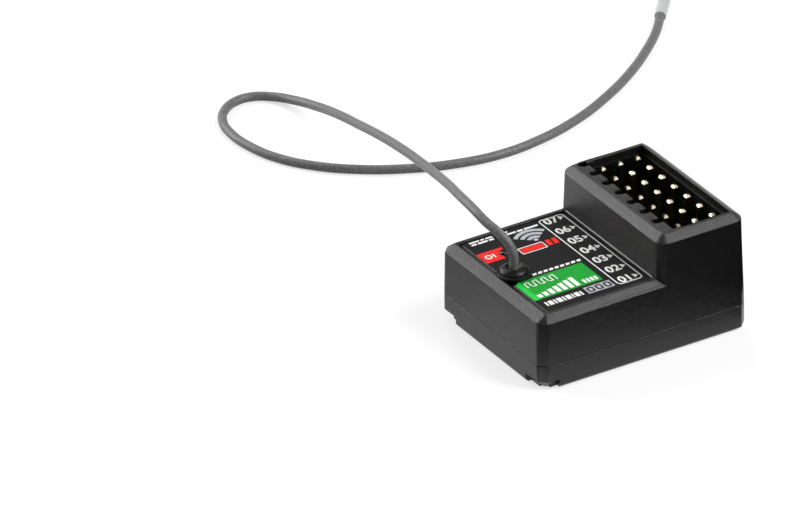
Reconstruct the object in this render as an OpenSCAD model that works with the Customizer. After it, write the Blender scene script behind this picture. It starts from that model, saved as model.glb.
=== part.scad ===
// Radio control receiver: two-part moulded case with a low label deck and a tall block,
// an open pocket holding seven three-pin servo ports, and one thin coaxial antenna.
// Millimetres, +Z up. The origin is at the bottom centre of the case. The antenna end of the
// case faces -X, the servo ports are at +X, and port 1 is at the -Y side.

/* [Case] */
// Length of the case from the antenna end to the port end
case_l = 30.3; // [29.8:0.1:40]
// Width of the case across the row of ports
case_w = 23.5; // [23.2:0.1:30]
// Height of the block around the ports
case_h = 16.2; // [15.6:0.1:18]
// Height of the label deck
deck_h = 10.3; // [9.6:0.1:11]
// Length of the block around the ports
block_l = 13; // [12.6:0.1:13.3]
// Height of the line where the two halves meet
parting_h = 3.6; // [3.2:0.1:4]
// Radius of the upright corners
corner_r = 1.75; // [1.5:0.05:2.2]
// Thickness of the moulded walls
wall_t = 1.4; // [1.2:0.1:1.6]
// Thickness of the bottom of the lower half
floor_t = 1.2; // [0.8:0.1:1.6]
// Thickness of the deck under the label
deck_t = 0.85; // [0.7:0.05:1.1]
// Width of the bevel round the top of the block
bevel_w = 1.1; // [0.6:0.1:1.1]
// Width of the deck's bevel at the antenna end
deck_bevel_x = 1.35; // [0.9:0.05:1.4]
// Width of the deck's bevel along the long sides
deck_bevel_y = 1.05; // [0.8:0.05:1.2]
// Height of these bevels
bevel_h = 0.85; // [0.5:0.05:1.2]
// Radius of their upper corners
bevel_r = 0.5; // [0.4:0.05:0.7]
// How far the upper walls lean in, per mm of height
draft = 0.02; // [0:0.005:0.03]
// Height of the chamfer round the bottom edge
foot_h = 0.4; // [0.2:0.1:0.6]
// Width of that chamfer
foot_w = 0.4; // [0.2:0.1:0.6]
// Height of the fine groove along the parting line
seam_h = 0.12; // [0.05:0.01:0.2]
// Depth of that groove
seam_d = 0.25; // [0.1:0.05:0.35]
// Height of the tongue that stands inside the upper half
lap_h = 0.9; // [0.7:0.1:1.2]
// Gap left between the tongue and the upper half
lap_gap = 0.05; // [0.03:0.01:0.1]

/* [Bottom corners] */
// Size of the chamfer under the two corners at the antenna end
corner_cut = 1.3; // [1:0.1:1.4]
// Width of the notch beside each of these corners, in the end face
notch_y = 1.9; // [1.4:0.1:2.2]
// Width of the notch beside each of these corners, in the long sides
notch_x = 1.1; // [0.8:0.1:1.6]
// Height of those notches
notch_h = 1.25; // [1:0.05:1.3]
// Depth of those notches
notch_d = 0.85; // [0.6:0.05:1]

/* [Label] */
// Depth of the recess that holds the label
recess_d = 0.35; // [0.2:0.05:0.45]
// Width of the rim between the bevel and that recess, at the antenna end
rim_w = 0.05; // [0.05:0.05:0.2]
// Width of that rim along the long sides
side_rim_w = 0.45; // [0.3:0.05:0.6]
// Thickness of the label
label_t = 0.2; // [0.1:0.05:0.3]
// Space between the label and the rim at the antenna end
label_gap = 0.65; // [0.2:0.05:0.8]
// Space between the label and the rim along the long sides
label_play = 0.1; // [0.05:0.05:0.2]
// Radius of the label's corners
label_r = 0.4; // [0.2:0.1:0.8]
// Width of the ridge between the recess and the block
ridge_w = 0.2; // [0.15:0.05:0.4]

/* [Servo ports] */
// Number of ports, as far as the case is wide enough for them
port_n = 7; // [5:1:7]
// Least thickness of the walls beside the ports
side_t = 1.6; // [1.4:0.1:1.7]
// Distance from one port to the next
port_pitch = 2.86; // [2.8:0.01:2.9]
// Distance between the three pins of one port
pin_pitch = 2.54; // [2.5:0.01:2.6]
// Width of a square pin
pin_w = 0.64; // [0.5:0.02:0.7]
// How far the pin tips stay below the top of the block
pin_drop = 0.5; // [0.3:0.1:1.2]
// How far the pins reach below the circuit board
pin_tail = 1.4; // [0.8:0.1:1.6]
// Length of the chamfer at the ends of a pin
pin_tip = 0.32; // [0.2:0.02:0.4]
// Width of the plastic base of a port
header_w = 2.5; // [2.3:0.05:2.6]
// Height of that base
header_h = 2.5; // [2.2:0.1:2.6]
// Room for a plug beyond three pin pitches
plug_gap = 0.5; // [0.4:0.05:0.6]
// Thickness of the block's rear wall
rear_t = 1.75; // [1.6:0.05:1.9]
// Width of the grooves that key the plugs
key_w = 1.15; // [0.9:0.05:1.3]
// Depth of those grooves
key_d = 1.2; // [0.8:0.1:1.4]
// Width of the small step round the mouth of the pocket
ledge_w = 0.15; // [0.1:0.01:0.2]
// Depth of that step
ledge_h = 1.15; // [0.6:0.05:1.6]
// Gap between the pocket's floor and the port bases
pocket_gap = 0.2; // [0.1:0.05:0.4]

/* [Circuit board] */
// Thickness of the circuit board
board_t = 1; // [0.8:0.1:1.2]
// Height of the underside of the board
board_z = 4; // [3.8:0.1:4.2]
// Space between the board's edge and the walls
board_gap = 0.3; // [0.2:0.05:0.5]
// Diameter of the plated holes for the pins
hole_d = 1; // [0.96:0.02:1.1]
// Size of the posts that carry and hold the board
post_w = 1.8; // [1.4:0.1:2]
// Gap between the holding posts and the board
post_gap = 0.1; // [0.05:0.05:0.2]
// Length of board kept free between the radio shield and the port bases
strip_x = 4.4; // [4.2:0.1:5]
// Width of board kept free on each side of the radio shield
strip_y = 5.5; // [5.3:0.1:5.6]
// Space between neighbouring parts on the board
part_gap = 0.6; // [0.4:0.05:0.7]
// Height of the radio shield
shield_h = 1.8; // [1.4:0.1:2.2]
// Thickness of the shield's sheet metal
shield_t = 0.2; // [0.15:0.05:0.3]
// Side of the square radio chip
radio_w = 4; // [3:0.1:4.5]
// Side of the square microcontroller
micro_w = 4.5; // [3.5:0.1:4.8]
// Thickness of both chips
chip_h = 0.85; // [0.6:0.05:1]
// Length of the crystal
crystal_l = 3.2; // [2.5:0.1:3.4]
// Width of the crystal
crystal_w = 2.5; // [2:0.1:2.6]
// Length of the voltage regulator's body
regulator_l = 3; // [2.6:0.1:3.2]
// Width of that body
regulator_w = 1.6; // [1.4:0.1:1.8]
// Length of the filter capacitor
filter_l = 3.5; // [3:0.1:3.6]
// Width of the filter capacitor
filter_w = 2.8; // [2:0.1:2.9]
// Length of the status lamp
lamp_l = 1.6; // [1.2:0.1:1.8]
// Diameter of the hole over the status lamp
lamp_d = 0.9; // [0.7:0.05:1.1]

/* [Antenna] */
// Diameter of the antenna cable
cable_d = 1.2; // [1:0.05:1.3]
// Diameter of the grommet's visible ring
grommet_d = 4.3; // [4:0.1:4.5]
// Diameter of the hole in the deck
grommet_hole = 3; // [2.6:0.1:3.2]
// Diameter of the grommet's lip under the deck
grommet_lip = 3.9; // [3.6:0.1:4.2]
// Height of the grommet above the rim of the deck
grommet_h = 1.1; // [0.9:0.05:1.3]
// Diameter of the grommet's neck under that ring
grommet_neck = 3.5; // [3.3:0.1:3.7]
// Distance from the grommet to the antenna end of the case
grommet_x = 3.5; // [3.2:0.1:3.6]
// Length of the straight antenna element
element_l = 31; // [28:1:34]
// Diameter of the antenna element
element_d = 0.9; // [0.6:0.05:1]
// Diameter of the clear sleeve over the element
sleeve_d = 1.5; // [1.3:0.05:1.5]

/* [Hidden] */
// Narrow webs stand between the outer ports' plugs and the walls
web = 0.2;
port_fit = floor((case_w - 2 * side_t + web) / port_pitch);
port_count = min(port_n, port_fit);
ports = [1 : port_count];
// Overlap that lets a cut pass through a face
cut = 0.1;
deck_l = case_l - block_l;
deck_floor = deck_h - recess_d;
ceiling = deck_floor - deck_t;
board_top = board_z + board_t;
header_top = board_top + header_h;
pocket_floor = header_top + pocket_gap;
pin_top = case_h - pin_drop;
pin_bottom = board_z - pin_tail;
pocket_l = 3 * pin_pitch + plug_gap;
pocket_w = port_count * port_pitch - web;
pocket_x = case_l - rear_t - pocket_l;
pocket_y = (case_w - pocket_w) / 2;
pins_x = pocket_x + pocket_l / 2;
// The groove beside the last port stays clear of the block's bevel
last_key_y = pocket_y + pocket_w - web / 2;
// Inset of the upright walls just under the two bevels, from their lean
deck_in = draft * (deck_h - bevel_h - parting_h);
block_in = draft * (case_h - bevel_h - parting_h);
// Inset of the skirt's inner face, halfway through the wall
skirt = wall_t / 2;
rim = deck_in + deck_bevel_x + rim_w;
side_rim = deck_in + deck_bevel_y + side_rim_w;
// Where the label deck meets the foot of the block
step_x = deck_l + deck_in;
mid_y = case_w / 2;
// The radio shield fills the board between the grommet, the port bases and two side strips
base_x = pins_x - 1.5 * pin_pitch;
shield_x = grommet_x + grommet_lip / 2 + part_gap;
shield_l = base_x - strip_x - shield_x;
shield_w = case_w - 2 * (wall_t + board_gap + strip_y);
shield_y = mid_y - shield_w / 2;
// The lamp and its hole lie beside the shield's corner, towards the last port
lamp_x = grommet_x + 1.7;
lamp_y = mid_y + shield_w / 2 + 0.75;
// Distance from the corner to the notches in the bottom edge
notch_at = corner_r - 0.05;
// How far the rear shelf stays inside the outer ports
shelf_in = 3;
grommet_top = deck_h + grommet_h;
snap_r = 0.25;
snap_l = 3;

// The antenna's route from the grommet over an arch and back along the ground.
// It is in the part's own frame, and the last two points lie level.
route = [
    [-11.65, 0, 11.4], [-11.65, 0, 12.8], [-12, 0.4, 14.3], [-12.7, 1.5, 15.6],
    [-13.3, 3.6, 16.4], [-13.3, 6.8, 16.9], [-12.4, 11.4, 16.3], [-11, 16, 15.1],
    [-9.4, 21.5, 13.5], [-7.8, 28, 11.8], [-6.4, 35, 10.1], [-5.1, 42, 8.2],
    [-4, 49, 6.2], [-3, 56, 4.2], [-2.4, 61.8, 2.4], [-2.8, 66.6, 1.2],
    [-4.2, 69.8, 0.7], [-6.4, 71.5, 0.6], [-8.8, 71.6, 0.6], [-11.1, 70.4, 0.6],
    [-12.9, 68, 0.6], [-13.7, 64.5, 0.6], [-13.4, 60.3, 0.6], [-12, 55.9, 0.6],
    [-9.2, 51.7, 0.6], [-5.1, 47.9, 0.6], [0.1, 44.7, 0.6], [5.9, 42.4, 0.6],
    [12.2, 41.3, 0.6], [18.8, 41.9, 0.6], [25.4, 43.8, 0.6], [31.7, 46.8, 0.6],
    [37.5, 50.4, 0.6], [42.4, 54.2, 0.65], [46.2, 57.7, 0.75], [48.8, 60.8, 0.75]];
last_point = route[len(route) - 1];
last_step = last_point - route[len(route) - 2];
end_yaw = atan2(last_step[1], last_step[0]);

function port_y(k) = mid_y + (k - (port_count + 1) / 2) * port_pitch;
function pin_x(row) = pins_x + (row - 2) * pin_pitch;
function unit(v) = v / norm(v);
function blend(a, b, c, d, t) =
    0.5 * (2 * b + (c - a) * t + (2 * a - 5 * b + 4 * c - d) * t * t
    + (3 * b - 3 * c + d - a) * t * t * t);
// Two rings for each stretch of the route, on a smooth curve through its points
function smooth(p) = let (n = len(p) - 1) concat(
    [for (i = [0 : n - 1], t = [0, 0.5])
        blend(p[max(i - 1, 0)], p[i], p[i + 1], p[min(i + 2, n)], t)],
    [p[n]]);
function heading(p, i) =
    i == 0 ? [0, 0, 1] :
    i == len(p) - 1 ? [cos(end_yaw), sin(end_yaw), 0] :
    unit(p[i + 1] - p[i - 1]);
// A side direction for each ring, carried along the cable without twist
function sides(p, i, last) =
    i == len(p) ? [] :
    let (h = heading(p, i), s = unit(last - (last * h) * h))
    concat([s], sides(p, i + 1, s));

// Everything but the antenna's route is drawn from the case's own corner
module from_corner() {
    translate([-case_l / 2, -mid_y, 0]) children();
}

// Flat outline with true round corners
module outline(x0, y0, x1, y1, r) {
    translate([x0 + r, y0]) square([x1 - x0 - 2 * r, y1 - y0]);
    translate([x0, y0 + r]) square([x1 - x0, y1 - y0 - 2 * r]);
    for (x = [x0 + r, x1 - r], y = [y0 + r, y1 - r])
        translate([x, y]) circle(r = r, $fn = 48);
}

// Straight plate that follows the case at an inset
module plate(inset, z0, z1) {
    translate([0, 0, z0]) linear_extrude(z1 - z0)
        outline(inset, inset, case_l - inset, case_w - inset, corner_r - inset);
}

// Four round corners of wall. The radius runs from r0 to r1, and the bevel on top is as wide
// as w_front at the antenna end and as w elsewhere.
module corners(front, z0, z1, z2, r0, r1, w_front, w) {
    for (a = [0, 1], b = [0, 1])
        translate([a == 0 ? front + corner_r : case_l - corner_r,
            b == 0 ? corner_r : case_w - corner_r, z0])
        mirror([a, 0, 0]) mirror([0, b, 0]) {
            cylinder(r1 = r0, r2 = r1, h = z1 - z0, $fn = 32);
            translate([(a == 0 ? w_front : w) + bevel_r - r1, w + bevel_r - r1, 0])
                cylinder(r = bevel_r, h = z2 - z0, $fn = 32);
        }
}

// The upper half up to the deck, over the whole length of the case
module deck_body() {
    hull() corners(0, parting_h, deck_h - bevel_h, deck_h,
        corner_r, corner_r - deck_in, deck_bevel_x, deck_bevel_y);
}

// The block stands on the upper half from the height where the deck's bevel starts
module block_body() {
    hull() corners(deck_l, deck_h - bevel_h, case_h - bevel_h, case_h,
        corner_r - deck_in, corner_r - block_in, bevel_w, bevel_w);
}

// A groove in the pocket's front wall, with a round end
module key_groove() {
    translate([-key_d + key_w / 2, 0, 0]) cylinder(d = key_w, h = case_h, $fn = 32);
    translate([-key_d + key_w / 2, -key_w / 2, 0])
        cube([key_d - key_w / 2 + cut, key_w, case_h]);
}

module snap_ridges(r, length, inset) {
    for (x = [case_l / 4, case_l * 3 / 4], y = [inset, case_w - inset])
        translate([x - length / 2, y, parting_h + lap_h / 2])
            rotate([0, 90, 0]) cylinder(r = r, h = length, $fn = 32);
}

// Short posts that reach down from the upper half and hold the board
module holding_posts() {
    for (y = [wall_t - cut, case_w - wall_t - post_w]) {
        translate([wall_t - cut, y, board_top + post_gap])
            cube([post_w + cut, post_w + cut, ceiling - board_top]);
        translate([pocket_x - post_w - 0.4, y, board_top + post_gap])
            cube([post_w, post_w + cut, pocket_floor - board_top]);
    }
}

module upper_case() {
    color("#1f1f1d") from_corner() {
        difference() {
            union() {
                deck_body();
                block_body();
            }
            plate(skirt, parting_h - cut, parting_h + lap_h);
            translate([wall_t, wall_t, parting_h])
                cube([case_l - 2 * wall_t, case_w - 2 * wall_t, pocket_floor - parting_h]);
            translate([wall_t, wall_t, pocket_floor - cut])
                cube([deck_l - wall_t + 0.5, case_w - 2 * wall_t,
                    ceiling - pocket_floor + cut]);
            translate([pocket_x, pocket_y, pocket_floor - cut])
                cube([pocket_l, pocket_w, case_h]);
            translate([pocket_x + 1, pocket_y - ledge_w, case_h - ledge_h])
                cube([pocket_l - 1 + ledge_w, pocket_w + 2 * ledge_w, ledge_h + cut]);
            for (k = ports)
                translate([pocket_x, min(port_y(k) + port_pitch / 2, last_key_y),
                    pocket_floor - cut]) key_groove();
            translate([rim, side_rim, deck_floor])
                cube([step_x - ridge_w - rim, case_w - 2 * side_rim, recess_d + cut]);
            translate([grommet_x, mid_y, ceiling - cut])
                cylinder(d = grommet_hole, h = deck_h, $fn = 48);
            translate([lamp_x, lamp_y, ceiling - cut])
                cylinder(d = lamp_d, h = deck_h, $fn = 32);
            snap_ridges(snap_r + lap_gap, snap_l + 0.2, skirt);
        }
        holding_posts();
    }
}

// The chamfer under one bottom corner and the notches on both sides of it
module corner_relief() {
    difference() {
        translate([-cut, -cut, -cut])
            cube([corner_r + cut, corner_r + cut, corner_cut + cut]);
        translate([corner_r, corner_r, -cut])
            cylinder(r1 = corner_r - corner_cut - cut, r2 = corner_r,
                h = corner_cut + cut, $fn = 32);
    }
    translate([-cut, notch_at, -cut]) cube([notch_d + cut, notch_y, notch_h + cut]);
    translate([notch_at, -cut, -cut]) cube([notch_x, notch_d + cut, notch_h + cut]);
}

// The outer form of the lower half, with a chamfered bottom edge
module tub() {
    hull() for (x = [corner_r, case_l - corner_r], y = [corner_r, case_w - corner_r])
        translate([x, y, 0]) {
            cylinder(r1 = corner_r - foot_w, r2 = corner_r, h = foot_h, $fn = 32);
            translate([0, 0, foot_h])
                cylinder(r = corner_r, h = parting_h - seam_h - foot_h, $fn = 32);
        }
}

module lower_case() {
    inset = skirt + lap_gap;
    color("#262624") from_corner() {
        difference() {
            union() {
                tub();
                plate(seam_d, parting_h - 2 * seam_h, parting_h);
                plate(inset, parting_h - seam_h, parting_h + lap_h - lap_gap);
                snap_ridges(snap_r, snap_l, inset);
            }
            translate([wall_t, wall_t, floor_t])
                cube([case_l - 2 * wall_t, case_w - 2 * wall_t, case_h]);
            for (b = [0, 1])
                translate([0, b * case_w, 0]) mirror([0, b, 0]) corner_relief();
        }
        // Posts and a rear shelf that carry the board
        for (y = [wall_t - cut, case_w - wall_t - post_w])
            translate([wall_t - cut, y, floor_t - cut])
                cube([post_w + cut, post_w + cut, board_z - floor_t + cut]);
        translate([pin_x(3) + pin_w / 2 + 0.4, port_y(1) + shelf_in, floor_t - cut])
            cube([case_l - wall_t - pin_x(3) - pin_w / 2 - 0.4 + cut,
                case_w - 2 * (port_y(1) + shelf_in), board_z - floor_t + cut]);
    }
}

// The printed label, with a notch round the grommet and a hole over the lamp
module label() {
    x0 = rim + label_gap;
    x1 = step_x - ridge_w - label_gap / 4;
    y0 = side_rim + label_play;
    y1 = case_w - side_rim - label_play;
    color("#2b2b29") from_corner() translate([0, 0, deck_floor])
        linear_extrude(label_t) difference() {
            outline(x0, y0, x1, y1, label_r);
            translate([grommet_x, mid_y]) circle(d = grommet_d + 0.2, $fn = 48);
            translate([x0 - 1, mid_y - grommet_d / 2 + 0.1])
                square([grommet_x - x0 + 1, grommet_d - 0.2]);
            translate([lamp_x, lamp_y]) circle(d = lamp_d, $fn = 32);
        }
}

// Soft plug: a lip under the deck, a neck in the hole and a domed ring above the rim
module grommet() {
    r = cable_d / 2;
    lip = grommet_lip / 2;
    hole = grommet_hole / 2;
    neck = grommet_neck / 2;
    ring = grommet_d / 2;
    z = grommet_h;
    color("#161616") from_corner() translate([grommet_x, mid_y, deck_h])
        rotate_extrude($fn = 64)
            polygon([
                [r, ceiling - 0.7 - deck_h], [lip, ceiling - 0.7 - deck_h],
                [lip, ceiling - deck_h], [hole, ceiling - deck_h],
                [hole, -recess_d], [neck, -recess_d], [neck, 0], [ring, 0],
                [ring, z * 0.36], [ring - 0.08, z * 0.42], [ring - 0.25, z * 0.46],
                [ring - 0.35, z * 0.62], [ring - 0.55, z * 0.8], [ring - 0.8, z * 0.93],
                [ring - 1.05, z], [r + 0.25, z * 0.94], [r, z * 0.94]]);
}

module circuit_board() {
    inset = wall_t + board_gap;
    color("#1e5b38") from_corner() difference() {
        translate([inset, inset, board_z])
            cube([case_l - 2 * inset, case_w - 2 * inset, board_t]);
        for (k = ports, row = [1 : 3])
            translate([pin_x(row), port_y(k), board_z - cut])
                linear_extrude(board_t + 2 * cut) rotate(15) polygon(
                    [for (a = [0 : 30 : 330]) hole_d / 2 * [cos(a), sin(a)]]);
    }
}

// Drawn box of thin metal, open below, with a row of vent holes
module radio_shield() {
    t = shield_t;
    color("#b9bcc0") from_corner()
        translate([shield_x, shield_y, board_top]) difference() {
            cube([shield_l, shield_w, shield_h]);
            translate([t, t, -t]) cube([shield_l - 2 * t, shield_w - 2 * t, shield_h]);
            for (i = [1 : 4])
                translate([shield_l / 2, shield_w * i / 5, 0])
                    cylinder(d = 0.8, h = shield_h + cut, $fn = 24);
        }
}

module radio_chip() {
    color("#2a2a2c") from_corner()
        translate([shield_x + (shield_l - radio_w) / 2, mid_y - radio_w / 2, board_top])
            cube([radio_w, radio_w, chip_h]);
}

module microcontroller() {
    color("#2a2a2c") from_corner()
        translate([shield_x, shield_y - part_gap - micro_w, board_top])
            cube([micro_w, micro_w, chip_h]);
}

module crystal() {
    color("#c9c9c5") from_corner()
        translate([shield_x + micro_w + part_gap, shield_y - part_gap - crystal_w, board_top])
            cube([crystal_l, crystal_w, 0.7]);
}

// Small body with a heat tab and three leads that reach the board
module voltage_regulator() {
    color("#303032") from_corner()
        translate([lamp_x + lamp_l / 2 + 2 * part_gap, lamp_y + part_gap, board_top]) {
            translate([0, 0, 0.15]) cube([regulator_l, regulator_w, 1]);
            for (x = [0.2, regulator_l / 2 - 0.2, regulator_l - 0.6])
                translate([x, -0.7, 0]) cube([0.4, 0.8, 0.25]);
            translate([regulator_l / 2 - 0.8, regulator_w - 0.1, 0]) cube([1.6, 0.8, 0.25]);
        }
}

module filter_capacitor() {
    color("#c98a2b") from_corner()
        translate([shield_x + shield_l + part_gap, mid_y + 0.6, board_top])
            cube([filter_w, filter_l, 1.8]);
}

module chip_capacitors() {
    color("#b08a60") from_corner()
        for (i = [0 : 3])
            translate([shield_x + shield_l + part_gap, mid_y - 0.9 - 1.3 * i, board_top])
                cube([1.6, 0.8, 0.7]);
}

module status_lamp() {
    color("#f2efe6") from_corner()
        translate([lamp_x, lamp_y, board_top]) {
            translate([-lamp_l / 2, -0.4, 0]) cube([lamp_l, 0.8, 0.35]);
            translate([-lamp_l / 4, -0.4, 0.3]) cube([lamp_l / 2, 0.8, 0.35]);
        }
}

// Soldered collar that ties the cable's screen to the board
module antenna_collar() {
    color("#c3a15a") from_corner() translate([grommet_x, mid_y, board_top]) difference() {
        cylinder(d = cable_d + 0.9, h = 0.7, $fn = 48);
        translate([0, 0, 0.2]) cylinder(d = cable_d, h = 1, $fn = 48);
    }
}

// The cable's first stretch, from the board up through the grommet
module antenna_feed() {
    color("#6d6e70") from_corner() translate([grommet_x, mid_y, board_top + 0.2])
        cylinder(d = cable_d, h = grommet_top - board_top - 0.2, $fn = 48);
}

// Tube swept along the smoothed route, with eight sides
module antenna_cable() {
    start = [grommet_x - case_l / 2, 0, grommet_top];
    lift = [for (i = [0 : 1]) start + [0, 0, i * (route[1][2] - route[0][2])]];
    path = smooth([for (i = [0 : len(route) - 1]) i < 2 ? lift[i] : route[i]]);
    side = sides(path, 0, [1, 0, 0]);
    n = len(path);
    points = [for (i = [0 : n - 1], k = [0 : 7])
        let (h = heading(path, i))
        path[i] + cable_d / 2 * (cos(45 * k) * side[i] + sin(45 * k) * cross(h, side[i]))];
    faces = concat(
        [[for (k = [7 : -1 : 0]) k]],
        [for (i = [0 : n - 2], k = [0 : 7])
            [i * 8 + k, i * 8 + (k + 1) % 8, (i + 1) * 8 + k]],
        [for (i = [0 : n - 2], k = [0 : 7])
            [i * 8 + (k + 1) % 8, (i + 1) * 8 + (k + 1) % 8, (i + 1) * 8 + k]],
        [[for (k = [0 : 7]) (n - 1) * 8 + k]]);
    color("#6d6e70") polyhedron(points = points, faces = faces);
}

module along_end() {
    translate(last_point) rotate([0, 0, end_yaw]) rotate([0, 90, 0]) children();
}

module antenna_sleeve() {
    color("#dfe3e2") along_end() difference() {
        cylinder(d = sleeve_d, h = element_l + 0.5, $fn = 32);
        translate([0, 0, -cut]) cylinder(d = element_d, h = element_l + cut, $fn = 32);
    }
}

module antenna_element() {
    color("#c9ccd0") along_end() cylinder(d = element_d, h = element_l, $fn = 32);
}

// Plastic base that carries the three pins of one port
module port_base(k) {
    color("#141414") from_corner() difference() {
        translate([pins_x - 1.5 * pin_pitch, port_y(k) - header_w / 2, board_top])
            cube([3 * pin_pitch, header_w, header_h]);
        for (row = [1 : 3])
            translate([pin_x(row) - pin_w / 2, port_y(k) - pin_w / 2, board_top - cut])
                cube([pin_w, pin_w, header_h + 2 * cut]);
    }
}

// Outline of a pin seen from one side, with chamfered ends
module pin_profile() {
    a = pin_w / 2;
    b = a - pin_tip / 2;
    rotate([90, 0, 0]) linear_extrude(pin_w, center = true) polygon([
        [-b, pin_bottom], [b, pin_bottom], [a, pin_bottom + pin_tip], [a, pin_top - pin_tip],
        [b, pin_top], [-b, pin_top], [-a, pin_top - pin_tip], [-a, pin_bottom + pin_tip]]);
}

// Row 1 carries the signal and is next to the label, row 2 the power, row 3 the ground
module pin(row, k) {
    color("#d8c48a") from_corner() translate([pin_x(row), port_y(k), 0]) intersection() {
        pin_profile();
        rotate([0, 0, 90]) pin_profile();
    }
}

upper_case();
lower_case();
label();
grommet();
circuit_board();
radio_shield();
radio_chip();
microcontroller();
crystal();
voltage_regulator();
filter_capacitor();
chip_capacitors();
status_lamp();
antenna_collar();
antenna_feed();
antenna_cable();
antenna_sleeve();
antenna_element();
for (k = ports) {
    port_base(k);
    pin(1, k);
    pin(2, k);
    pin(3, k);
}
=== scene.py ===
import math
import bmesh
import bpy
from mathutils import Matrix, Vector


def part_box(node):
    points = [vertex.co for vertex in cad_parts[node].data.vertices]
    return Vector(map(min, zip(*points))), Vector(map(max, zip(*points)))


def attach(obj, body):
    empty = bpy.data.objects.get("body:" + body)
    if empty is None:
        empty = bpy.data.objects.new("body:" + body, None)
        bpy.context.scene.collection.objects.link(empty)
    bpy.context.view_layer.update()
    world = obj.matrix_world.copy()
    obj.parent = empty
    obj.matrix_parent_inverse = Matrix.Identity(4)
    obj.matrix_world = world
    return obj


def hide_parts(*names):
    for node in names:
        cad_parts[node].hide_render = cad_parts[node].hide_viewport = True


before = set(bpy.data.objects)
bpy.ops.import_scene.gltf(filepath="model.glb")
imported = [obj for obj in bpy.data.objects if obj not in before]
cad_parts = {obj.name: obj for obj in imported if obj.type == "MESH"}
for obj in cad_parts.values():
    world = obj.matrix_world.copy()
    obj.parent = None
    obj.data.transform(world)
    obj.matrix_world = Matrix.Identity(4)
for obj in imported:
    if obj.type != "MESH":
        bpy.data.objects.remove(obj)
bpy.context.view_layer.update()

# Camera. A long lens far off, low over the antenna end's near corner, so that the case shows
# almost without perspective, as in a catalogue picture.
camera_data = bpy.data.cameras.new("camera")
camera_data.sensor_width = 36
camera_data.lens = 540.4
camera_data.clip_start = 0.1
camera_data.clip_end = 10
camera = bpy.data.objects.new("camera", camera_data)
bpy.context.scene.collection.objects.link(camera)
# The columns are the camera's right, its up, its back and its place, in metres.
camera.matrix_world = Matrix((
    (0.8511, 0.2701, -0.4502, -0.68831),
    (-0.5248, 0.4151, -0.7431, -1.08989),
    (-0.0138, 0.8688, 0.4950, 0.74253),
    (0, 0, 0, 1)))
bpy.context.scene.camera = camera

# Antenna cable. A thin coaxial cable in a grey plastic jacket, stiff enough to stand in an
# arch over the deck. It is pushed up through the grommet and lies in one loop behind the case.
# Its route is in millimetres, point for point as in the part's source.
cable_route = [
    (-11.65, 0, 11.4), (-11.65, 0, 12.8), (-12, 0.4, 14.3), (-12.7, 1.5, 15.6),
    (-13.3, 3.6, 16.4), (-13.3, 6.8, 16.9), (-12.4, 11.4, 16.3), (-11, 16, 15.1),
    (-9.4, 21.5, 13.5), (-7.8, 28, 11.8), (-6.4, 35, 10.1), (-5.1, 42, 8.2),
    (-4, 49, 6.2), (-3, 56, 4.2), (-2.4, 61.8, 2.4), (-2.8, 66.6, 1.2),
    (-4.2, 69.8, 0.7), (-6.4, 71.5, 0.6), (-8.8, 71.6, 0.6), (-11.1, 70.4, 0.6),
    (-12.9, 68, 0.6), (-13.7, 64.5, 0.6), (-13.4, 60.3, 0.6), (-12, 55.9, 0.6),
    (-9.2, 51.7, 0.6), (-5.1, 47.9, 0.6), (0.1, 44.7, 0.6), (5.9, 42.4, 0.6),
    (12.2, 41.3, 0.6), (18.8, 41.9, 0.6), (25.4, 43.8, 0.6), (31.7, 46.8, 0.6),
    (37.5, 50.4, 0.6), (42.4, 54.2, 0.65), (46.2, 57.7, 0.75), (48.8, 60.8, 0.75)]
cable_curve = bpy.data.curves.new("cable", "CURVE")
cable_curve.dimensions = "3D"
cable_curve.bevel_depth = 0.0006
cable_curve.bevel_resolution = 6
cable_curve.resolution_u = 6
cable_curve.use_fill_caps = True
cable_spline = cable_curve.splines.new("BEZIER")
cable_spline.bezier_points.add(len(cable_route) - 1)
for point, place in zip(cable_spline.bezier_points, cable_route):
    point.co = Vector(place) / 1000
    point.handle_left_type = "AUTO"
    point.handle_right_type = "AUTO"
cable = bpy.data.objects.new("antenna_cable_jacket", cable_curve)
bpy.context.scene.collection.objects.link(cable)


def new_material(name, color, roughness, specular=0.5):
    """A material with one shader, whose plain values sit on the shader's own sockets."""
    material = bpy.data.materials.new(name)
    material.use_nodes = True
    shader = material.node_tree.nodes["Principled BSDF"]
    shader.inputs["Base Color"].default_value = (*color, 1)
    shader.inputs["Roughness"].default_value = roughness
    shader.inputs["Specular IOR Level"].default_value = specular
    return material


def add_grain(material, scale, strength, distance, detail=3.0):
    """A fine moulded grain as bump, in the object's own coordinates."""
    tree = material.node_tree
    place = tree.nodes.new("ShaderNodeTexCoord")
    noise = tree.nodes.new("ShaderNodeTexNoise")
    noise.inputs["Scale"].default_value = scale
    noise.inputs["Detail"].default_value = detail
    bump = tree.nodes.new("ShaderNodeBump")
    bump.inputs["Strength"].default_value = strength
    bump.inputs["Distance"].default_value = distance
    tree.links.new(place.outputs["Object"], noise.inputs["Vector"])
    tree.links.new(noise.outputs["Fac"], bump.inputs["Height"])
    tree.links.new(bump.outputs["Normal"],
                   tree.nodes["Principled BSDF"].inputs["Normal"])


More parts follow.
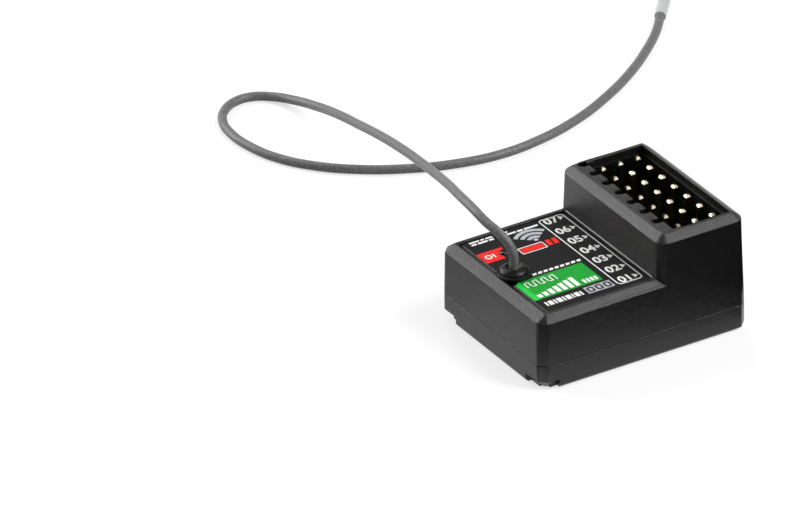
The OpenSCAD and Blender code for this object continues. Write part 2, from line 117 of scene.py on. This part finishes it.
def add_mottle(material, low, high, scale):
    """A slow change between two colours over the surface."""
    tree = material.node_tree
    place = tree.nodes.new("ShaderNodeTexCoord")
    noise = tree.nodes.new("ShaderNodeTexNoise")
    noise.inputs["Scale"].default_value = scale
    noise.inputs["Detail"].default_value = 4.0
    ramp = tree.nodes.new("ShaderNodeValToRGB")
    ramp.color_ramp.elements[0].position = 0.35
    ramp.color_ramp.elements[1].position = 0.65
    ramp.color_ramp.elements[0].color = (*low, 1)
    ramp.color_ramp.elements[1].color = (*high, 1)
    tree.links.new(place.outputs["Object"], noise.inputs["Vector"])
    tree.links.new(noise.outputs["Fac"], ramp.inputs["Fac"])
    tree.links.new(ramp.outputs["Color"],
                   tree.nodes["Principled BSDF"].inputs["Base Color"])


jacket = new_material("cable_jacket", (0.12, 0.12, 0.12), roughness=0.42, specular=0.4)
add_mottle(jacket, (0.095, 0.095, 0.095), (0.155, 0.155, 0.153), scale=3200)
add_grain(jacket, scale=4500, strength=0.5, distance=0.00005)
cable_curve.materials.append(jacket)
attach(cable, "root")
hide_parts("antenna_cable")

# Antenna tip. A straight tinned wire inside a pale, slightly milky shrink sleeve, which stands
# off the wire at its open end. The sleeve grips the end of the cable's jacket.
def dress(name, material):
    """Gives a CAD node its finish."""
    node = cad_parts[name]
    node.data.materials.clear()
    node.data.materials.append(material)


def pass_light(material, share):
    """Lets a share of the light through, as a milky plastic does."""
    shader = material.node_tree.nodes["Principled BSDF"]
    shader.inputs["Transmission Weight"].default_value = share


def new_metal(name, color, roughness):
    """A bare or plated metal surface."""
    material = new_material(name, color, roughness)
    material.node_tree.nodes["Principled BSDF"].inputs["Metallic"].default_value = 1
    return material


sleeve_film = new_material("sleeve_film", (0.72, 0.74, 0.73), roughness=0.3)
pass_light(sleeve_film, 0.45)
add_mottle(sleeve_film, (0.66, 0.68, 0.67), (0.76, 0.78, 0.77), scale=500)
add_grain(sleeve_film, scale=2500, strength=0.2, distance=0.00002)
dress("antenna_sleeve", sleeve_film)

tinned_wire = new_metal("tinned_wire", (0.75, 0.75, 0.76), roughness=0.28)
add_mottle(tinned_wire, (0.68, 0.68, 0.69), (0.8, 0.8, 0.81), scale=1500)
add_grain(tinned_wire, scale=6000, strength=0.15, distance=0.00001)
dress("antenna_element", tinned_wire)
dress("antenna_feed", jacket)

# Case. Two halves injection moulded in black plastic with a fine spark-eroded grain, which snap
# together. Each upright corner is one flat facet that ends in a point at the top of the bevel,
# and each edge has the small round that the mould's milling leaves.
edge_round = 0.0001
block_edge_round = 0.00013
corner_round = 0.00175
bevel_round = 0.0005
bevel_tall = 0.0009
round_side = math.radians(11.25)
same_place = 0.000002


def merged_copy(name):
    """A CAD node's mesh with its loose triangles merged."""
    body = bmesh.new()
    body.from_mesh(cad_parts[name].data)
    bmesh.ops.remove_doubles(body, verts=body.verts[:], dist=same_place)
    return body


def facet_corner(body, axis, away, low, high):
    """Squares a round upright corner, between two heights, to one flat facet across it."""
    skin_share = 0.88
    for corner in body.verts:
        out = [(corner.co[i] - axis[i]) * away[i] for i in (0, 1)]
        reach = math.hypot(*out)
        on_corner = min(out) > -same_place and max(out) < corner_round + same_place
        on_skin = reach > skin_share * corner_round
        if not (on_corner and on_skin and low < corner.co.z < high):
            continue
        angle = math.atan2(max(out[1], 0), max(out[0], 0))
        # The solid's round has flat sides, and the facet starts from the true circle.
        circle = reach * math.cos(angle % round_side - round_side / 2) \
            / math.cos(round_side / 2)
        wall = max(math.cos(angle), math.sin(angle))
        facet = math.cos(angle - math.radians(45))
        corner.co.x = axis[0] + away[0] * math.cos(angle) * circle / max(wall, facet)
        corner.co.y = axis[1] + away[1] * math.sin(angle) * circle / max(wall, facet)


def point_corner(body, tip, away, height):
    """Draws the round corner of a bevel's upper edge out into a point over the facet."""
    slack = 0.00001
    facet_from, facet_to = math.radians(21), math.radians(69)
    for corner in body.verts:
        out = [bevel_round - (tip[i] - corner.co[i]) * away[i] for i in (0, 1)]
        on_round = min(out) > -same_place and abs(math.hypot(*out) - bevel_round) < slack
        if not on_round or abs(corner.co.z - height) > slack:
            continue
        angle = math.atan2(out[1], out[0])
        if angle < facet_to:
            corner.co.x = tip[0]
        if angle > facet_from:
            corner.co.y = tip[1]


def outer_edges(body, wanted):
    """The raised edges, from a blunt one to a square one, whose ends are at wanted places."""
    bluntest, sharpest = math.radians(24), math.radians(100)
    return [edge for edge in body.edges
            if edge.is_manifold and edge.is_convex
            and bluntest < edge.calc_face_angle() < sharpest
            and all(wanted(corner.co) for corner in edge.verts)]


def round_edges(body, edges, width):
    """Gives edges a small round."""
    bmesh.ops.bevel(body, geom=edges, offset=width, offset_type="OFFSET", segments=3,
                    profile=0.5, affect="EDGES", clamp_overlap=False, material=-1)


def new_piece(name, body, materials, nodes=()):
    """Makes a mesh an object that rides with the case and stands for the given CAD nodes."""
    crease = math.radians(35)
    for face in body.faces:
        face.smooth = True
    for edge in body.edges:
        edge.smooth = len(edge.link_faces) == 2 and edge.calc_face_angle() < crease
    mesh = bpy.data.meshes.new(name)
    body.to_mesh(mesh)
    body.free()
    for material in materials:
        mesh.materials.append(material)
    piece = bpy.data.objects.new(name, mesh)
    bpy.context.scene.collection.objects.link(piece)
    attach(piece, "root")
    if nodes:
        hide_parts(*nodes)
    return piece


def even_normals(piece):
    """Lets the large faces keep their own normals, so that only the rounds are curved."""
    modifier = piece.modifiers.new("even_normals", "WEIGHTED_NORMAL")
    modifier.keep_sharp = True


case_plastic = new_material("case_plastic", (0.004, 0.004, 0.0039), roughness=0.27, specular=0.48)
add_grain(case_plastic, scale=6500, strength=0.8, distance=0.0001)

# Upper half of the case. The low deck, the tall block and the open pocket for the plugs are one
# moulding. The walls lean in a little, a bevel runs round the deck and round the block, and a
# low ridge stands between the label and the block.
case_low, case_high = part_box("upper_case")
case_top = case_high[2]
deck_top = 0.0103
block_front = case_low[0] + 0.0173
deck_inset = (0.001467, 0.001167)
block_inset = (0.001335, 0.001335)
under_top = 0.0001
ridge_reach = 0.0002
upper = merged_copy("upper_case")
for side in (-1, 1):
    for wall_x, away_x, low, top, inset in (
            (case_low[0], -1, 0, deck_top, deck_inset),
            (case_high[0], 1, 0, case_top, block_inset),
            (block_front, -1, deck_top - bevel_tall, case_top, block_inset)):
        wall_y = side * case_high[1]
        facet_corner(upper, (wall_x - away_x * corner_round, wall_y - side * corner_round),
                     (away_x, side), low, top - under_top)
        point_corner(upper, (wall_x - away_x * inset[0], wall_y - side * inset[1]),
                     (away_x, side), top)
bmesh.ops.remove_doubles(upper, verts=upper.verts[:], dist=same_place)
round_edges(upper, outer_edges(upper, lambda place: place.z > case_top - bevel_tall),
            block_edge_round)
round_edges(upper, outer_edges(
    upper, lambda place: deck_top - bevel_tall < place.z < deck_top + ridge_reach), edge_round)
even_normals(new_piece("upper_shell", upper, [case_plastic], ["upper_case"]))

# Lower half of the case. A shallow tray of the same plastic, whose tongue stands inside the
# upper half. It has small steps and notches under its corners.
lower = merged_copy("lower_case")
lower_low, lower_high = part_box("lower_case")
for away in ((-1, -1), (-1, 1), (1, -1), (1, 1)):
    facet_corner(lower, [away[i] * (lower_high[i] - corner_round) for i in (0, 1)], away,
                 lower_low[2] - same_place, lower_high[2])


def on_outside(place):
    """Whether a place is on the tray's outer walls or on the steps under its corners."""
    wall_depth, step_tall = 0.00045, 0.0013
    depth = min(place.x - lower_low[0], lower_high[0] - place.x,
                place.y - lower_low[1], lower_high[1] - place.y)
    return depth < wall_depth or place.z < step_tall


round_edges(lower, outer_edges(lower, on_outside), edge_round)
even_normals(new_piece("lower_shell", lower, [case_plastic], ["lower_case"]))

# Label. Black laminated film on a light adhesive foam, laid in the deck's recess. All that is
# printed on it is plain: the ports' numbers, coloured fields and small marks.
film = new_material("label_film", (0.009, 0.009, 0.0087), roughness=0.34, specular=0.1)
add_grain(film, scale=14000, strength=0.25, distance=0.00001)
foam = new_material("label_foam", (0.35, 0.35, 0.34), roughness=0.7)
add_grain(foam, scale=12000, strength=0.4, distance=0.00003)
label = merged_copy("label")
for face in label.faces:
    face.material_index = 0 if face.normal.z > 0.5 else 1
new_piece("label_sheet", label, [film, foam], ["label"])
label_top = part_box("label")[1][2]
ink_thick = 0.000008
ink_sunk = 0.000001


def add_shape(ink, shape, lift):
    """Gives a flat shape its thickness and adds it to an ink's mesh, lifted by whole layers."""
    grown = bmesh.ops.extrude_face_region(shape, geom=shape.faces[:])
    top = [part for part in grown["geom"] if isinstance(part, bmesh.types.BMVert)]
    bmesh.ops.translate(shape, verts=top, vec=(0, 0, ink_thick))
    bmesh.ops.recalc_face_normals(shape, faces=shape.faces[:])
    bmesh.ops.translate(shape, verts=shape.verts[:],
                        vec=(case_low[0], case_low[1], label_top - ink_sunk + lift * ink_thick))
    mesh = bpy.data.meshes.new("ink")
    shape.to_mesh(mesh)
    shape.free()
    ink.from_mesh(mesh)
    bpy.data.meshes.remove(mesh)


def print_outline(ink, points, lift=0.0, corner=0.0, line=0.0):
    """One printed field, in millimetres from the case's corner, or only its line."""
    shape = bmesh.new()
    shape.faces.new([shape.verts.new((x / 1000, y / 1000, 0)) for x, y in points])
    if corner:
        bmesh.ops.bevel(shape, geom=shape.verts[:], offset=corner / 1000, segments=6,
                        profile=0.5, affect="VERTICES", material=-1)
    if line:
        rim = bmesh.ops.inset_region(shape, faces=shape.faces[:], thickness=line / 1000,
                                     use_boundary=True, use_even_offset=True)["faces"]
        inner = [face for face in shape.faces if face not in rim]
        bmesh.ops.delete(shape, geom=inner, context="FACES")
    add_shape(ink, shape, lift)


def print_bar(ink, x0, y0, x1, y1, lift=0.0, slant=0.0):
    """A printed bar whose upper edge is shifted by slant."""
    print_outline(ink, [(x0, y0), (x1, y0), (x1 + slant, y1), (x0 + slant, y1)], lift)


full_turn = 2 * math.pi


def print_arc(ink, x, y, inner, outer, start, turn, lift=0.0):
    """A printed part of a ring round a middle point."""
    shape = bmesh.new()
    edge = shape.edges.new([
        shape.verts.new(((x + r * math.cos(start)) / 1000, (y + r * math.sin(start)) / 1000, 0))
        for r in (inner, outer)])
    full = turn == full_turn
    bmesh.ops.spin(shape, geom=[*edge.verts, edge], cent=(x / 1000, y / 1000, 0),
                   axis=(0, 0, 1), angle=turn, steps=24 if full else 14, use_merge=full)
    add_shape(ink, shape, lift)


def print_figures(ink, text, x0, y0, y1):
    """Plain figures between two heights, bolder and narrower than the typeface."""
    bolder, narrower = 0.028, 0.95
    curve = bpy.data.curves.new("figures", "FONT")
    curve.body = text
    curve.resolution_u = 3
    curve.offset = bolder
    figures = bpy.data.objects.new("figures", curve)
    bpy.context.scene.collection.objects.link(figures)
    bpy.context.view_layer.update()
    mesh = bpy.data.meshes.new_from_object(
        figures.evaluated_get(bpy.context.evaluated_depsgraph_get()))
    shape = bmesh.new()
    shape.from_mesh(mesh)
    bpy.data.objects.remove(figures)
    bpy.data.meshes.remove(mesh)
    bmesh.ops.remove_doubles(shape, verts=shape.verts[:], dist=0.0001)
    low = [min(corner.co[axis] for corner in shape.verts) for axis in (0, 1)]
    high = [max(corner.co[axis] for corner in shape.verts) for axis in (0, 1)]
    tall = (y1 - y0) / 1000 / (high[1] - low[1])
    wide = tall * narrower
    for corner in shape.verts:
        corner.co = ((corner.co.x - low[0]) * wide + x0 / 1000,
                     (corner.co.y - low[1]) * tall + y0 / 1000, 0)
    add_shape(ink, shape, 0)


def new_ink(name, color, lighter):
    """A matt printing ink, a little uneven."""
    ink = new_material(name, color, roughness=0.45, specular=0.15)
    add_mottle(ink, color, lighter, scale=2500)
    return ink


def ink_piece(name, body, material):
    """All that is printed in one ink is one piece, which goes with the label."""
    new_piece(name, body, [material])


# White ink, screen printed. It draws the frame round the ports' numbers, the numbers with their
# arrows, rows of small bars, and the marks that lie one layer up on the coloured fields. The same
# white also paints a highlight on the ridge beside the label.
port_pitch, first_port_y = 2.86, 3.65
frame_x0, frame_x1, frame_y0, frame_y1 = 13.05, 16.7, 2.65, 21.6
white = bmesh.new()
print_outline(white, [(frame_x0, frame_y0), (frame_x1, frame_y0), (frame_x1, frame_y1),
                      (frame_x0, frame_y1)], corner=0.6, line=0.16)
for port in range(7):
    y = first_port_y + port_pitch * port
    print_figures(white, f"0{port + 1}", 13.6, y - 0.78, y + 0.78)
    print_outline(white, [(15.75, y - 0.5), (16.4, y), (15.75, y + 0.5)])

# The line beside the frame is a painted highlight. It is a white bar laid on top of the low ridge
# between the label and the block, and it stands in for the light that the ridge's upper edge
# catches.
ridge_tall = 0.00015
print_bar(white, 17.31, 1.9, 17.41, 21.7, ridge_tall / ink_thick)

# Rows of small slanted and upright bars, like lines of small print.
first_row = ((2.95, 3.7), (3.9, 5.3), (5.5, 6.2), (7.9, 9.4), (9.6, 10.4), (10.6, 12.6))
second_row = ((2.95, 4.4), (4.6, 5.1), (5.3, 6.3), (7.9, 8.5))
last_row = ((2.95, 3.2), (3.4, 4.0), (4.2, 4.45), (4.65, 5.3), (5.5, 5.75), (5.95, 6.6),
            (6.8, 7.0), (7.2, 7.8), (8.0, 8.25))
for row, y0, y1, slant in ((first_row, 20.6, 20.95, 0.1), (second_row, 21.2, 21.5, 0.1),
                           (last_row, 3.0, 4.0, 0)):
    for x0, x1 in row:
        print_bar(white, x0, y0, x1, y1, slant=slant)
for step in range(9):
    print_bar(white, 5.4 + 0.8 * step, 10.3, 5.95 + 0.8 * step, 10.75, slant=0.15)

# A pulse line, rising bars and four even ones lie on the green field.
pulse_pitch, pulse_wide, line_wide = 1.2, 0.6, 0.16
pulse_low, pulse_high = 8.0, 9.35
pulses = 4
for step in range(pulses):
    x = 3.25 + pulse_pitch * step
    print_bar(white, x, pulse_low, x + line_wide, pulse_high, 1)
    print_bar(white, x, pulse_high - line_wide, x + pulse_wide, pulse_high, 1)
    print_bar(white, x + pulse_wide, pulse_low, x + pulse_wide + line_wide, pulse_high, 1)
    if step < pulses - 1:
        print_bar(white, x + pulse_wide, pulse_low, x + pulse_pitch, pulse_low + line_wide, 1)
for step in range(7):
    print_bar(white, 3.15 + 0.9 * step, 5.25, 3.75 + 0.9 * step, 6.0 + 0.25 * step, 1)
for step in range(4):
    print_bar(white, 9.8 + 0.55 * step, 5.3, 10.15 + 0.55 * step, 6.2, 1)

# A ring and a bar lie on the red tag, and two thin frames go round the other fields.
print_arc(white, 3.25, 17.2, 0.3, 0.5, 0, full_turn, 1)
print_bar(white, 3.95, 16.75, 4.15, 17.65, 1)
print_outline(white, [(7.2, 15.4), (10.85, 15.4), (10.85, 17.0), (7.2, 17.0)],
              corner=0.2, line=0.14)
print_outline(white, [(8.7, 2.65), (12.75, 2.65), (12.75, 4.55), (8.7, 4.55)], line=0.16)
ink_piece("label_print_white_and_ridge_highlight", white,
          new_ink("white_ink_and_ridge_highlight", (0.74, 0.74, 0.73), (0.82, 0.82, 0.81)))

# Green inks, screen printed. One field has a strip of a brighter green with a cut corner along
# its side towards the antenna.
green = bmesh.new()
print_outline(green, [(3.0, 4.9), (12.15, 4.9), (12.15, 9.9), (3.0, 9.9)])
ink_piece("label_print_green", green, new_ink("green_ink", (0.006, 0.27, 0.022),
                                              (0.008, 0.32, 0.03)))
bright = bmesh.new()
print_outline(bright, [(2.25, 4.9), (3.0, 4.9), (3.0, 9.9), (2.25, 9.3)])
ink_piece("label_print_bright_green", bright,
          new_ink("bright_green_ink", (0.012, 0.46, 0.05), (0.018, 0.54, 0.07)))

# Red ink, screen printed. It fills the tag that points at the lamp, the field in its white frame
# and the two slanted bars beside it.
red = bmesh.new()
print_outline(red, [(2.25, 15.9), (4.95, 15.9), (4.95, 16.6), (4.62, 17.05), (4.95, 17.6),
                    (5.9, 18.1), (5.9, 18.5), (2.25, 18.5)])
print_bar(red, 7.45, 15.65, 10.55, 16.75)
print_bar(red, 11.1, 15.6, 11.7, 17.0, slant=0.15)
print_bar(red, 12.0, 15.6, 12.6, 17.0, slant=0.15)
ink_piece("label_print_red", red, new_ink("red_ink", (0.72, 0.012, 0.01), (0.8, 0.018, 0.014)))

# Silver ink, screen printed. Three arcs over a dot are the common sign for radio waves, and one
# field carries the black marks.
wave_x, wave_y, wave_pitch = 10.5, 17.45, 0.85
silver = bmesh.new()
for wave in range(3):
    print_arc(silver, wave_x, wave_y, 0.75 + wave_pitch * wave, 1.3 + wave_pitch * wave,
              math.radians(40), math.radians(100))
print_arc(silver, wave_x, wave_y + 0.3, 0.02, 0.3, 0, full_turn, 0.5)
print_bar(silver, 8.86, 2.81, 12.59, 4.39)
ink_piece("label_print_silver", silver,
          new_ink("silver_ink", (0.36, 0.37, 0.4), (0.46, 0.47, 0.5)))

# Black ink, screen printed over the silver. Three plain rounded outlines stand side by side on
# the field.
black = bmesh.new()
for step in range(3):
    x = 9.08 + 1.2 * step
    print_outline(black, [(x, 3.0), (x + 0.95, 3.0), (x + 0.95, 4.2), (x, 4.2)], 1,
                  corner=0.3, line=0.26)
ink_piece("label_print_black", black, new_ink("black_ink", (0.01, 0.01, 0.01),
                                              (0.014, 0.014, 0.014)))

# Grommet. Soft black rubber, moulded in one piece: a lip under the deck, a neck through the
# hole and a flanged dome above, from which the cable comes out.
grommet_low, grommet_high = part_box("grommet")
grommet_middle = Vector(((grommet_low[0] + grommet_high[0]) / 2,
                         (grommet_low[1] + grommet_high[1]) / 2, 0))
# Radius and height over the deck, in millimetres, from the lip's bore round to the cable.
rubber_profile = [
    (0.6, -1.9), (1.95, -1.9), (1.95, -1.2), (1.5, -1.2), (1.5, -0.35), (1.75, -0.35),
    (1.75, 0), (2.08, 0), (2.13, 0.05), (2.15, 0.12), (2.15, 0.32), (2.12, 0.4), (2.04, 0.45),
    (1.94, 0.46), (1.84, 0.41), (1.77, 0.4), (1.75, 0.48), (1.8, 0.58), (1.76, 0.7),
    (1.62, 0.84), (1.44, 0.95), (1.26, 1.04), (1.1, 1.09), (0.98, 1.07), (0.9, 0.98),
    (0.82, 0.84), (0.74, 0.76), (0.6, 0.74)]
grommet_body = bmesh.new()
ring = [grommet_body.verts.new((r / 1000, 0, deck_top + z / 1000)) for r, z in rubber_profile]
edges = [grommet_body.edges.new((a, b)) for a, b in zip(ring, ring[1:] + ring[:1])]
bmesh.ops.spin(grommet_body, geom=ring + edges, cent=(0, 0, 0), axis=(0, 0, 1),
               angle=full_turn, steps=72, use_merge=True)
bmesh.ops.remove_doubles(grommet_body, verts=grommet_body.verts[:], dist=0.000001)
bmesh.ops.recalc_face_normals(grommet_body, faces=grommet_body.faces[:])
bmesh.ops.translate(grommet_body, verts=grommet_body.verts[:], vec=grommet_middle)
rubber = new_material("black_rubber", (0.006, 0.006, 0.006), roughness=0.32, specular=0.22)
add_grain(rubber, scale=7000, strength=0.35, distance=0.00003)
new_piece("rubber_grommet", grommet_body, [rubber], ["grommet"])

# Servo ports. Square brass pins with a flash of gold, pressed into black nylon bases and
# soldered to the board.
gold = new_metal("gold_flash", (0.56, 0.5, 0.36), roughness=0.16)
add_mottle(gold, (0.46, 0.39, 0.26), (0.66, 0.61, 0.48), scale=2600)
add_grain(gold, scale=9000, strength=0.1, distance=0.00001)
nylon = new_material("black_nylon", (0.01, 0.01, 0.01), roughness=0.5)
add_grain(nylon, scale=5000, strength=0.3, distance=0.00003)
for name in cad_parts:
    if "_pin_" in name:
        dress(name, gold)
    elif name.startswith("port_base_"):
        dress(name, nylon)


# Circuit board and what is soldered to it. Green solder mask over copper, a tin-plated shield
# over the radio chip, black epoxy packages, and small parts with tinned ends.
def band_colors(material, node, axis, stops):
    """Constant colours along one axis of a node, as (share of its length, colour)."""
    tree = material.node_tree
    low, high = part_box(node)
    place = tree.nodes.new("ShaderNodeTexCoord")
    split = tree.nodes.new("ShaderNodeSeparateXYZ")
    share = tree.nodes.new("ShaderNodeMapRange")
    share.inputs["From Min"].default_value = low[axis]
    share.inputs["From Max"].default_value = high[axis]
    ramp = tree.nodes.new("ShaderNodeValToRGB")
    ramp.color_ramp.interpolation = "CONSTANT"
    while len(ramp.color_ramp.elements) < len(stops):
        ramp.color_ramp.elements.new(0.5)
    for element, (at, color) in zip(ramp.color_ramp.elements, stops):
        element.position = at
        element.color = (*color, 1)
    tree.links.new(place.outputs["Object"], split.inputs[0])
    tree.links.new(split.outputs[axis], share.inputs["Value"])
    tree.links.new(share.outputs[0], ramp.inputs["Fac"])
    tree.links.new(ramp.outputs["Color"], tree.nodes["Principled BSDF"].inputs["Base Color"])


mask = new_material("solder_mask", (0.02, 0.11, 0.045), roughness=0.3)
add_mottle(mask, (0.016, 0.09, 0.036), (0.024, 0.125, 0.052), scale=700)
add_grain(mask, scale=1200, strength=0.3, distance=0.00003, detail=1.0)
dress("circuit_board", mask)

tin = new_metal("tin_plate", (0.55, 0.56, 0.57), roughness=0.32)
add_mottle(tin, (0.48, 0.49, 0.5), (0.62, 0.63, 0.64), scale=600)
add_grain(tin, scale=4000, strength=0.15, distance=0.00001)
dress("radio_shield", tin)

can = new_metal("crystal_can", (0.6, 0.6, 0.58), roughness=0.25)
add_mottle(can, (0.55, 0.55, 0.53), (0.66, 0.66, 0.64), scale=900)
add_grain(can, scale=5000, strength=0.1, distance=0.00001)
dress("crystal", can)

epoxy = new_material("chip_epoxy", (0.02, 0.02, 0.022), roughness=0.55)
add_mottle(epoxy, (0.017, 0.017, 0.019), (0.026, 0.026, 0.028), scale=2500)
add_grain(epoxy, scale=8000, strength=0.35, distance=0.00002)
dress("radio_chip", epoxy)
dress("microcontroller", epoxy)

regulator = new_material("regulator_body", (0.025, 0.025, 0.027), roughness=0.4)
band_colors(regulator, "voltage_regulator", 2,
            ((0, (0.5, 0.5, 0.48)), (0.22, (0.025, 0.025, 0.027))))
add_grain(regulator, scale=7000, strength=0.3, distance=0.00002)
dress("voltage_regulator", regulator)

tantalum = new_material("tantalum_case", (0.55, 0.26, 0.04), roughness=0.35)
band_colors(tantalum, "filter_capacitor", 1,
            ((0, (0.55, 0.26, 0.04)), (0.78, (0.12, 0.05, 0.015))))
add_grain(tantalum, scale=6000, strength=0.25, distance=0.00002)
dress("filter_capacitor", tantalum)

ceramic = new_material("ceramic_body", (0.42, 0.26, 0.14), roughness=0.4)
band_colors(ceramic, "chip_capacitors", 0,
            ((0, (0.6, 0.6, 0.58)), (0.2, (0.42, 0.26, 0.14)), (0.8, (0.6, 0.6, 0.58))))
add_grain(ceramic, scale=6000, strength=0.25, distance=0.00002)
dress("chip_capacitors", ceramic)

lens = new_material("lamp_lens", (0.85, 0.82, 0.75), roughness=0.25)
pass_light(lens, 0.2)
add_mottle(lens, (0.8, 0.77, 0.68), (0.9, 0.88, 0.82), scale=1500)
dress("status_lamp", lens)

solder = new_metal("solder_collar", (0.6, 0.45, 0.22), roughness=0.3)
add_mottle(solder, (0.55, 0.42, 0.22), (0.66, 0.62, 0.52), scale=2500)
dress("antenna_collar", solder)

# Floor. Plain white paper that sweeps up far away on every side. It lies a hair below the case,
# so that the two never share one plane, and it shows white to the camera and in reflections
# without lighting the case more.
floor_z = -0.00002
paper_glow = 0.65
sweep_profile = [(0, floor_z), (2.2, floor_z), (2.5, 0.06), (2.7, 0.2), (2.85, 0.5), (2.9, 1.0)]
sweep = bmesh.new()
points = [sweep.verts.new((r, 0, z)) for r, z in sweep_profile]
lines = [sweep.edges.new((a, b)) for a, b in zip(points, points[1:])]
bmesh.ops.spin(sweep, geom=points + lines, cent=(0, 0, 0), axis=(0, 0, 1),
               angle=full_turn, steps=64, use_merge=True)
bmesh.ops.remove_doubles(sweep, verts=sweep.verts[:], dist=0.00001)
bmesh.ops.recalc_face_normals(sweep, faces=sweep.faces[:])
if sum(face.normal.z * face.calc_area() for face in sweep.faces) < 0:
    bmesh.ops.reverse_faces(sweep, faces=sweep.faces[:])
floor_data = bpy.data.meshes.new("floor")
sweep.to_mesh(floor_data)
sweep.free()
floor = bpy.data.objects.new("floor", floor_data)
bpy.context.scene.collection.objects.link(floor)
paper = new_material("white_paper", (0.35, 0.35, 0.35), roughness=0.9, specular=0.1)
tree = paper.node_tree
rays = tree.nodes.new("ShaderNodeLightPath")
seen = tree.nodes.new("ShaderNodeMath")
seen.operation = "MAXIMUM"
tree.links.new(rays.outputs["Is Camera Ray"], seen.inputs[0])
tree.links.new(rays.outputs["Is Glossy Ray"], seen.inputs[1])
seen_too = tree.nodes.new("ShaderNodeMath")
seen_too.operation = "MAXIMUM"
tree.links.new(seen.outputs[0], seen_too.inputs[0])
tree.links.new(rays.outputs["Is Transmission Ray"], seen_too.inputs[1])
glow = tree.nodes.new("ShaderNodeMath")
glow.operation = "MULTIPLY"
glow.inputs[1].default_value = paper_glow
tree.links.new(seen_too.outputs[0], glow.inputs[0])
shader = tree.nodes["Principled BSDF"]
shader.inputs["Emission Color"].default_value = (1, 1, 1, 1)
tree.links.new(glow.outputs[0], shader.inputs["Emission Strength"])
floor_data.materials.append(paper)

# Two cards lie beside the case where only reflections meet them, as a photographer lays them
# down to keep a black case dark: a black one at the near corner and a grey one at the left.
def card(name, corners, strength):
    """A flat card just above the paper, which only reflections see."""
    card_z = 0.0002
    flat = bmesh.new()
    flat.faces.new([flat.verts.new((x, y, card_z)) for x, y in corners])
    data = bpy.data.meshes.new(name)
    flat.to_mesh(data)
    flat.free()
    finish = new_material(name, (0.003, 0.003, 0.003), roughness=0.9, specular=0.0)
    shader = finish.node_tree.nodes["Principled BSDF"]
    shader.inputs["Emission Color"].default_value = (1, 1, 1, 1)
    shader.inputs["Emission Strength"].default_value = strength
    data.materials.append(finish)
    piece = bpy.data.objects.new(name, data)
    bpy.context.scene.collection.objects.link(piece)
    piece.visible_camera = False
    piece.visible_diffuse = False
    piece.visible_shadow = False
    piece.visible_transmission = False


card_end = 0.13
card("black_card",
     [(-card_end, -0.006), (-card_end, -card_end), (card_end, -card_end), (card_end, 0.02),
      (0.0215, 0.02), (0.0215, -0.008), (0.019, -0.0125), (0.016, -0.0143),
      (-0.009, -0.0192), (-0.0205, -0.0165), (-0.024, -0.0105)], strength=0.0)
card("grey_card",
     [(-card_end, card_end), (-card_end, -0.006), (-0.0224, -0.006), (-0.0222, 0.0113),
      (-0.0172, 0.0113), (-0.0172, card_end)], strength=0.5)


# Light. Three soft square lamps stand low behind on the left, overhead on the right and high
# behind, and two small ones draw the light lines along the lower edges of the bevels. An even
# pale room fills in the rest.
lamp_distance = 0.6


def soft_lamp(name, direction, size, radiance):
    """A square lamp that faces the case."""
    data = bpy.data.lights.new(name, "AREA")
    data.shape = "SQUARE"
    data.size = size
    data.energy = radiance * math.pi * size * size
    lamp = bpy.data.objects.new(name, data)
    bpy.context.scene.collection.objects.link(lamp)
    toward = Vector(direction).normalized()
    lamp.matrix_world = Matrix.Translation(toward * lamp_distance) @ \
        toward.to_track_quat("Z", "Y").to_matrix().to_4x4()
    lamp.visible_camera = False


soft_lamp("lamp_behind_left", (-0.4, 0.76, 0.5), size=0.42, radiance=4.8)
soft_lamp("lamp_overhead", (0.46, -0.45, 0.765), size=0.36, radiance=7.4)
soft_lamp("lamp_behind", (0.2, 0.6, 0.76), size=0.12, radiance=10.0)
soft_lamp("edge_lamp_left", (-0.646, 0.743, 0.189), size=0.06, radiance=60.0)
soft_lamp("edge_lamp_right", (0.45, -0.777, 0.453), size=0.06, radiance=60.0)

world = bpy.data.worlds.new("studio")
bpy.context.scene.world = world
world.use_nodes = True
world.node_tree.nodes["Background"].inputs["Color"].default_value = (1, 1, 1, 1)
world.node_tree.nodes["Background"].inputs["Strength"].default_value = 0.3

bpy.context.scene.view_settings.view_transform = "Standard"
